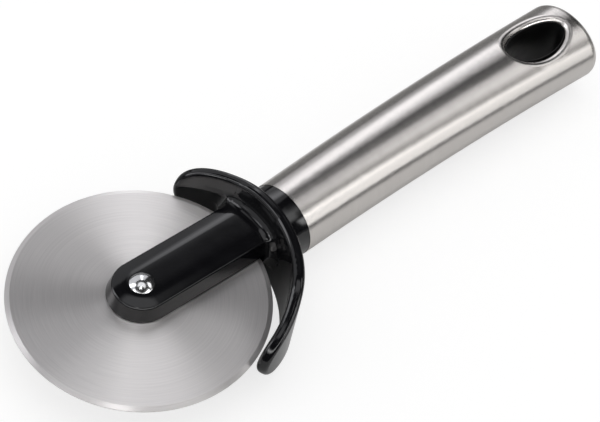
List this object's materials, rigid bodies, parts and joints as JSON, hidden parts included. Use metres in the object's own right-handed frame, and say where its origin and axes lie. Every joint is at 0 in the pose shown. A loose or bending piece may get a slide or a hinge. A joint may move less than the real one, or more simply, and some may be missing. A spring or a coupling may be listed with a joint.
{
  "type": "pizza cutter wheel",
  "caption": "Hand-held pizza cutter: a round steel blade spinning in a black fork with a curved guard, on a bowed steel handle with an oval hanging hole.",
  "frame": {"origin": "under the middle of the part's bounding box, on the surface that the guard rests on", "axes": "+X runs from the blade to the butt of the handle, +Z is the blade's axis, +Y is the side of the thumb rest"},
  "size_m": [0.192, 0.0668, 0.024],
  "materials": {
    "blade_steel": "circular brushed",
    "bush_plastic": "matt",
    "rivet_chrome": "polished",
    "fork_plastic": "gloss",
    "handle_steel": "crosswise satin brushed",
    "liner_plastic": "satin"
  },
  "bodies": {
    "tool": {"fork": "fork_plastic", "rivet_post": "rivet_chrome", "rivet_cap": "rivet_chrome", "handle_tube": "handle_steel", "handle_end_cap": "handle_steel", "hang_hole_liner": "liner_plastic"},
    "wheel": {"blade": "blade_steel", "upper_hub_bush": "bush_plastic", "lower_hub_bush": "bush_plastic"}
  },
  "joints": [
    {"name": "blade_spin", "type": "hinge", "parent": "tool", "child": "wheel", "pos_m": [-0.06346, 0.00104, 0.012], "axis": [0, 0, 1], "continuous": true}
  ]
}
